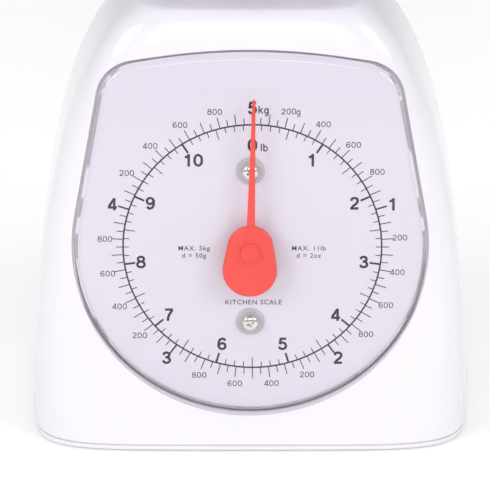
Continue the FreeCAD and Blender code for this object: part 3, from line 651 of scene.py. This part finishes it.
def clear_finish(name, tint, edge_tint, gloss, haze=0.0):
    """Clear moulded plastic: a clean reflection over a see-through body that darkens at its edges."""
    finish = Finish(name)
    facing = finish.node("LayerWeight", out="Facing", Blend=0.5)
    colour = finish.mix(facing * facing, tint, edge_tint)
    see_through = finish.node("BsdfTransparent", Color=colour)
    sheen = finish.node("BsdfGlossy", Roughness=haze + 0.03)
    mirror = finish.node("Fresnel", IOR=1.49)
    lamp_ray = finish.node("LightPath", out="Is Shadow Ray")
    inner_side = finish.node("NewGeometry", out="Backfacing")
    share = mirror * (1 - lamp_ray) * (1 - inner_side) * gloss
    blend = finish.node("MixShader")
    mixer = blend.socket.node
    finish.tree.links.new(share.socket, mixer.inputs[0])
    finish.tree.links.new(see_through.socket, mixer.inputs[1])
    finish.tree.links.new(sheen.socket, mixer.inputs[2])
    return finish.surface(blend)


nickel = metal("bright_nickel", (0.72, 0.70, 0.66, 1), (0.86, 0.84, 0.80, 1), 0.16, 260)
washer_clear = clear_finish("washer_clear", (0.96, 0.962, 0.95, 1), (0.74, 0.74, 0.70, 1), 0.8, 0.08)
screw_offset = 31 * MM
screw_pieces = []
washer_pieces = []
for side in (1, -1):
    y = side * screw_offset
    head = lathe(
        "screw_head",
        [(r * MM, z * MM) for r, z in ((0, 3.5), (0.8, 3.48), (1.7, 3.36), (2.5, 3.08), (3.05, 2.6),
                                       (3.25, 2.05), (3.25, 1.62), (3.1, 1.5), (1.5, 1.5), (1.5, -9.4),
                                       (0.4, -10.4), (0, -10.5))],
        y=y, on_face=True,
    )
    carve(head, cross_recess(0, y, 3.5 * MM, 1.3 * MM, 1.75 * MM, 0.75 * MM))
    screw_pieces.append(head)
    washer = lathe(
        "washer",
        [(r * MM, z * MM) for r, z in ((1.55, 0.04), (1.55, 1.5), (3.9, 1.5), (4.15, 1.3), (4.2, 0.95),
                                       (5.3, 0.88), (5.6, 0.6), (5.6, 0.14), (5.5, 0.04), (1.56, 0.04))],
        y=y, on_face=True,
    )
    washer_pieces.append(washer)
screws = joined("dial_screw_pair", screw_pieces)
only(screws)
bpy.ops.object.shade_smooth_by_angle(angle=math.radians(30))
settle(screws, "housing", nickel, "nickel_screw", "dial_screws")
settle(joined("dial_washer_pair", washer_pieces), "housing", washer_clear, "clear_washer", "dial_washers")

# ---------------------------------------------------------------- pointer
# One red polystyrene moulding: a flat tapered needle, a teardrop counterweight with a rounded
# shoulder and a boss pressed on the shaft. It hangs a touch clockwise of the zero mark.

pointer_turn = Matrix.Rotation(math.radians(-1.3), 4, "Z")


def pointer_red():
    finish = Finish("pointer_red")
    drift = finish.noise(60, 2)
    colour = finish.mix(drift, (0.80, 0.045, 0.03, 1), (0.87, 0.062, 0.042, 1))
    shader = finish.node(
        "BsdfPrincipled",
        Base_Color=colour,
        Roughness=drift * 0.06 + 0.17,
        Normal=finish.bump(drift, 0.03, 0.0005),
    )
    shader.socket.node.inputs["Specular IOR Level"].default_value = 0.4
    return finish.surface(shader)


def teardrop(inset, depth, steps=24):
    """Two circles and their tangents, the smaller one above the pivot."""
    small = 8.9 * MM - inset
    large = 10.55 * MM - inset
    top = 1.4 * MM
    bottom = -8.0 * MM
    tilt = math.asin((large - small) / (top - bottom))
    ring = []
    for step in range(steps):
        angle = tilt + (math.pi - 2 * tilt) * step / (steps - 1)
        ring.append(Vector((small * math.cos(angle), top + small * math.sin(angle), depth)))
    for step in range(steps):
        angle = math.pi - tilt + (math.pi + 2 * tilt) * step / (steps - 1)
        ring.append(Vector((large * math.cos(angle), bottom + large * math.sin(angle), depth)))
    return [pointer_turn @ point for point in ring]


hub_profile = [(6.5, 4.4), (0.3, 4.4), (0.0, 4.7), (0.0, 5.9), (0.12, 6.35), (0.42, 6.72), (0.85, 6.93),
               (1.4, 7.0), (6.5, 7.0)]
hub = dial_ringed("pointer_hub", [teardrop(inset * MM, depth * MM) for inset, depth in hub_profile], 50)
boss_profile = [(0.0, 6.6), (4.35, 6.6), (4.3, 7.0), (4.05, 7.15), (4.0, 7.5), (4.0, 8.2), (3.75, 8.65),
                (3.3, 8.8), (0.0, 8.8)]
boss = lathe("pointer_boss", [(r * MM, z * MM) for r, z in boss_profile], on_face=True, smooth=50)
needle_low = 6.5 * MM
needle_tip = 61.5 * MM


def needle_ring(inset, depth):
    """Long trapezium with a rounded tip."""
    root = 1.65 * MM - inset
    tip = 0.55 * MM - inset
    ring = [Vector((-root, needle_low, depth)), Vector((root, needle_low, depth))]
    for step in range(7):
        angle = math.pi * step / 6
        ring.append(Vector((tip * math.cos(angle), needle_tip - 0.55 * MM + tip * math.sin(angle), depth)))
    return [pointer_turn @ point for point in ring]


needle_profile = [(0.12, 4.75), (0.0, 4.9), (0.0, 5.55), (0.18, 5.75)]
needle = dial_ringed(
    "pointer_needle", [needle_ring(inset * MM, depth * MM) for inset, depth in needle_profile], 40
)
carve(hub, [boss, needle], "UNION")
hub.name = "red_pointer"
only(hub)
bpy.ops.object.shade_smooth_by_angle(angle=math.radians(40))
settle(hub, "pointer", pointer_red(), "red_pointer", "pointer")

# ---------------------------------------------------------------- lens
# Clear polystyrene tray pressed into the housing's window: a lip round the dial plate, drafted
# walls with a rounded rim and a window crowned by a few millimetres.

lens_draft = 1.5 * MM
lens_wall = 2.2 * MM
crown_radius = 600 * MM


def crowned(ring, height):
    """Drop each point of a ring by the window's crown."""
    return [
        Vector((p.x, p.y, height - (p.x**2 + p.y**2) / (2 * crown_radius))) for p in ring
    ]


window_top = 11.5 * MM
window_under = 9.9 * MM
rim = [(1.6, 0.0), (1.1, 0.06), (0.62, 0.22), (0.26, 0.5), (0.06, 0.9), (0.0, 1.3)]
outer_wall = [(0.15, 2.6), (0.0, 1.2), (0.0, -2.6), (0.9, -2.6), (0.9, 0.0), (2.2, 0.0)]
fillet = [(0.9, 1.1), (1.2, 0.6), (1.6, 0.25), (2.2, 0.0)]
lens_rings = [
    crowned(lens_outline(lens_draft + 1.6 * MM, 0, share), window_top) for share in (0.01, 0.3, 0.6, 0.85)
]
lens_rings += [
    crowned(lens_outline(lens_draft * 0.7 + inset * MM), window_top - drop * MM) for inset, drop in rim
]
lens_rings += [lens_outline(inset * MM, depth * MM) for inset, depth in outer_wall]
lens_rings += [lens_outline(lens_wall + 0.2 * MM, 2.0 * MM)]
lens_rings += [
    crowned(lens_outline(lens_wall + inset * MM), window_under - drop * MM) for inset, drop in fillet
]
lens_rings += [
    crowned(lens_outline(lens_wall + 2.2 * MM, 0, share), window_under) for share in (0.85, 0.6, 0.3, 0.01)
]
lens = dial_ringed("clear_lens", lens_rings, 50)
lens_clear = clear_finish("lens_clear", (0.982, 0.977, 0.986, 1), (0.93, 0.90, 0.92, 1), 1.0)
settle(lens, "housing", lens_clear, "clear_lens", "dial_lens")

# ---------------------------------------------------------------- platform and neck
# White moulding: an oval plate with a low raised edge on a hollow neck that enters the housing.


def oval(semi_x, semi_y, z, count=128):
    return [
        Vector((
            semi_x * math.cos(2 * math.pi * n / count),
            semi_y * math.sin(2 * math.pi * n / count),
            z,
        ))
        for n in range(count)
    ]


def oval_rings(semi_x, semi_y, profile):
    """Rings of an oval piece from (inset, height) pairs in millimetres."""
    return [
        oval(max(semi_x - inset, 0.2) * MM, max(semi_y - inset, 0.2) * MM, z * MM) for inset, z in profile
    ]


plate_profile = [(44, 194), (33, 194), (0.6, 194), (0.1, 194.4), (0.0, 195), (0.0, 198.2),
                 (0.3, 198.8), (0.8, 199),
                 (2.2, 199), (2.7, 198.8), (3.0, 198.3), (3.0, 197.4), (3.4, 197), (33, 197), (44, 197)]
plate = ringed("platform_plate", oval_rings(45, 34, plate_profile), 50)
neck_rings = [(24, 7, 4, 194.5), (24, 7, 4, 160.5), (23.6, 6.6, 3.6, 160), (22.2, 5.2, 2.2, 160),
              (22, 5, 2, 160.4), (22, 5, 2, 193.8)]
neck = ringed(
    "platform_neck", [rounded_ring(x * MM, y * MM, r * MM, z * MM) for x, y, r, z in neck_rings], 50
)
carve(plate, [neck], "UNION")
plate.name = "platform_moulding"
only(plate)
bpy.ops.object.shade_smooth_by_angle(angle=math.radians(35))
settle(plate, "platform", white_abs, "white_housing", "platform")

# ---------------------------------------------------------------- weighing bowl
# Deep oval bowl in the same white plastic, with a foot ring that drops over the platform and a
# rounded rim. The walls are 2 mm thick.


def bowl_ring(rise, inset, lift=0.0):
    """Ring of the bowl's outer curve at a share of its height, drawn in by the inset."""
    share = 0.5 + 0.5 * (1 - (1 - rise) ** 1.6) ** 0.635
    semi_x = 103 * MM * share - inset
    semi_y = 80 * MM * (share - 0.03 * (1 - rise)) - inset
    return oval(semi_x, semi_y, 199 * MM + 48 * MM * rise + lift)


rises = [0.02 + 0.955 * (step / 22) ** 1.6 for step in range(23)]
foot = [(46.8, 199), (45.5, 199), (45.5, 196.9), (45.8, 196.5), (47.2, 196.5), (47.6, 196.9), (47.6, 199.2)]
bowl_rings = [oval(share * 45 * MM, share * 34 * MM, 199 * MM) for share in (0.01, 0.5, 1.0)]
bowl_rings += [oval(x * MM, (x - 11) * MM, z * MM) for x, z in foot[1:]]
bowl_rings += [bowl_ring(rise, 0) for rise in rises]
rim_roll = [(0.0, 0.985), (0.25, 0.996), (0.7, 1.0), (1.3, 1.0), (1.75, 0.996), (2.0, 0.985)]
bowl_rings += [bowl_ring(0.985, inset * MM, (share - 0.985) * 48 * MM) for inset, share in rim_roll]
inner_rises = [0.97 * (1 - step / 22) ** 1.6 + 0.002 for step in range(23)]
bowl_rings += [bowl_ring(rise, 2 * MM, 2 * MM * (1 - rise)) for rise in inner_rises]
bowl_rings += [oval(share * 49 * MM, share * 36.5 * MM, 201 * MM) for share in (0.9, 0.5, 0.01)]
bowl = ringed("bowl_moulding", bowl_rings, 50)
settle(bowl, "bowl", white_abs, "bowl_plastic", "weighing_bowl")

# ---------------------------------------------------------------- zero wheel
# Ribbed white thumb wheel on the hanger's thread; a few millimetres of its rim stand out at the back.

wheel_centre = 29 * MM
ribs = 36


def wheel_ring(radius, z, depth=0.0):
    ring = []
    for number in range(ribs * 8):
        dip = depth * max(0.0, math.cos(2 * math.pi * number / 8)) ** 2
        angle = 2 * math.pi * number / (ribs * 8)
        reach = radius - dip
        ring.append(Vector((reach * math.cos(angle), wheel_centre + reach * math.sin(angle), z)))
    return ring


wheel_profile = [(2.56, 147, 0), (15.6, 147, 0), (16.2, 147.3, 0.3), (16.5, 147.8, 0.55), (16.5, 151.2, 0.55),
                 (16.2, 151.7, 0.3), (15.6, 152, 0), (2.56, 152, 0), (2.55, 147.02, 0)]
wheel = ringed(
    "zero_thumb_wheel", [wheel_ring(r * MM, z * MM, dip * MM) for r, z, dip in wheel_profile], 40
)
settle(wheel, "zero_wheel", white_abs, "white_wheel", "zero_wheel")

# ---------------------------------------------------------------- mechanism
# Folded galvanised sheet for the frame, carrier and levers; ground steel pins; brass rack, pinion
# and bushes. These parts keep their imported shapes.

galvanised = metal("galvanised_sheet", (0.42, 0.44, 0.47, 1), (0.66, 0.67, 0.69, 1), 0.42, 90)
ground_steel = metal("ground_steel", (0.55, 0.55, 0.56, 1), (0.7, 0.7, 0.7, 1), 0.24, 800, (0.1, 1, 1))
brass = metal("turned_brass", (0.62, 0.42, 0.14, 1), (0.8, 0.58, 0.24, 1), 0.26, 500)
blued = metal("blued_spring_wire", (0.2, 0.21, 0.24, 1), (0.34, 0.35, 0.38, 1), 0.3, 600)
mechanism_finishes = {
    galvanised: ("mechanism_frame", "movement_bridge", "upper_lever", "lower_lever", "load_carrier"),
    ground_steel: ("upper_frame_pin", "lower_frame_pin", "upper_carrier_pin", "lower_carrier_pin",
                   "frame_pin_clips", "carrier_pin_clips", "rack_pin", "pointer_shaft", "spring_hanger"),
    brass: ("front_bush", "rear_bush", "pinion", "rack"),
    blued: ("rack_spring",),
}
for material, names in mechanism_finishes.items():
    for name in names:
        paint(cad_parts[name], material)

# ---------------------------------------------------------------- main springs
# Two close-coiled extension springs of hardened wire with a ring at each end, between the hanger and
# the carrier's yoke. On the real scale they stretch as the platform goes down; here each is drawn at one
# length.

spring_turns = 22
spring_pitch = 1.45 * MM
coil_radius = 3.9 * MM
ring_size = 3 * MM
wire = 0.6 * MM
ring_rise = ring_size + 1.2 * MM


def spring_end(side, foot):
    """From the coil's end in to the middle plane and round an open ring."""
    points = []
    pull = 6 * MM
    for step in range(1, 8):
        t = step / 8
        out = (2 * t - 3) * t * t + 1
        rise = (3 - 2 * t) * t * t
        leave = ((t - 2) * t + 1) * t
        arrive = (t - 1) * t * t
        x = coil_radius * out
        y = pull * leave + ring_size * rise
        z = ring_rise * rise + pull * arrive + 0.06 * pull * leave
        points.append((x, side * y, foot + side * z))
    for step in range(21):
        angle = math.radians(250 * step / 20)
        z = ring_rise + ring_size * math.sin(angle)
        points.append((0, side * ring_size * math.cos(angle), foot + side * z))
    return points


for node_name in ("main_spring_left", "main_spring_right"):
    low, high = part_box(node_name)
    centre = (low + high) / 2
    length = spring_turns * spring_pitch
    foot = centre.z - length / 2
    points = spring_end(-1, 0)[::-1]
    for step in range(spring_turns * 16 + 1):
        angle = 2 * math.pi * step / 16
        rise = length * step / (spring_turns * 16)
        points.append((coil_radius * math.cos(angle), coil_radius * math.sin(angle), rise))
    points += spring_end(1, length)
    path = bpy.data.curves.new(node_name + "_wire", "CURVE")
    path.dimensions = "3D"
    path.bevel_depth = wire
    path.bevel_resolution = 2
    path.use_fill_caps = True
    line = path.splines.new("POLY")
    line.points.add(len(points) - 1)
    for knot, (x, y, z) in zip(line.points, points):
        knot.co = (centre.x + x, wheel_centre + y, foot + z, 1)
    spring = bpy.data.objects.new(node_name + "_coil", path)
    bpy.context.collection.objects.link(spring)
    only(spring)
    bpy.ops.object.convert(target="MESH")
    spring = finish_mesh(bpy.context.object, 60)
    paint(spring, blued)
    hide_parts(node_name)
    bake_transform(spring)

# ---------------------------------------------------------------- floor, light and camera
# White table and backdrop, a large soft lamp on each side and one above.


def table_finish():
    finish = Finish("white_table")
    drift = finish.noise(3, 2)
    colour = finish.mix(drift, (0.82, 0.82, 0.82, 1), (0.85, 0.85, 0.85, 1))
    shader = finish.node("BsdfPrincipled", Base_Color=colour, Roughness=drift * 0.1 + 0.55)
    shader.socket.node.inputs["Emission Color"].default_value = (1, 1, 1, 1)
    shader.socket.node.inputs["Emission Strength"].default_value = 0.16
    return finish.surface(shader)


bpy.ops.object.select_all(action="DESELECT")
bpy.ops.mesh.primitive_plane_add(size=8, location=(0, 0, 0))
table = bpy.context.object
table.name = "table"
paint(table, table_finish())

world = bpy.data.worlds.new("white_room")
bpy.context.scene.world = world
world.use_nodes = True
sky = world.node_tree.nodes["Background"]
sky.inputs["Color"].default_value = (1.0, 0.99, 1.0, 1)
sky.inputs["Strength"].default_value = 0.5
seen = world.node_tree.nodes.new("ShaderNodeLightPath")
backdrop = world.node_tree.nodes.new("ShaderNodeBackground")
backdrop.inputs["Strength"].default_value = 1.1
either = world.node_tree.nodes.new("ShaderNodeMixShader")
world.node_tree.links.new(seen.outputs["Is Camera Ray"], either.inputs[0])
world.node_tree.links.new(sky.outputs[0], either.inputs[1])
world.node_tree.links.new(backdrop.outputs[0], either.inputs[2])
world.node_tree.links.new(either.outputs[0], world.node_tree.nodes["World Output"].inputs["Surface"])


def lamp(name, place, target, width, height, power):
    """Soft rectangular lamp that faces a point."""
    light = bpy.data.lights.new(name, "AREA")
    light.shape = "RECTANGLE"
    light.size = width
    light.size_y = height
    light.energy = power
    item = bpy.data.objects.new(name, light)
    item.location = place
    item.rotation_euler = (Vector(target) - Vector(place)).to_track_quat("-Z", "Y").to_euler()
    bpy.context.collection.objects.link(item)
    return item


lamp("left_softbox", (-1.1, -0.8, 0.9), (0, 0, 0.1), 0.6, 0.6, 8.6)
lamp("right_softbox", (1.1, -0.8, 0.9), (0, 0, 0.1), 0.6, 0.6, 8.1)
lamp("top_softbox", (0, 0.1, 1.6), (0, 0, 0.1), 1.0, 1.0, 7)
lamp("front_softbox", (0, -1.8, 1.0), (0, 0, 0.15), 1.0, 0.6, 7)

view_distance = 2.2
view_height = math.radians(25.3)
picture_width = 490
dial_scale = 129.34 / 50 / MM
aim = dial_centre + Vector((-2.05 * MM, 0, 0.55 * MM))
camera_data = bpy.data.cameras.new("camera")
camera_data.sensor_width = 36
camera_data.lens = dial_scale * view_distance * 36 / picture_width
camera = bpy.data.objects.new("camera", camera_data)
away = Vector((0, -math.cos(view_height), math.sin(view_height)))
camera.location = aim + away * view_distance
camera.rotation_euler = (-away).to_track_quat("-Z", "Y").to_euler()
camera_data.clip_end = 20
bpy.context.collection.objects.link(camera)
bpy.context.scene.camera = camera
bpy.context.scene.view_settings.view_transform = "Standard"
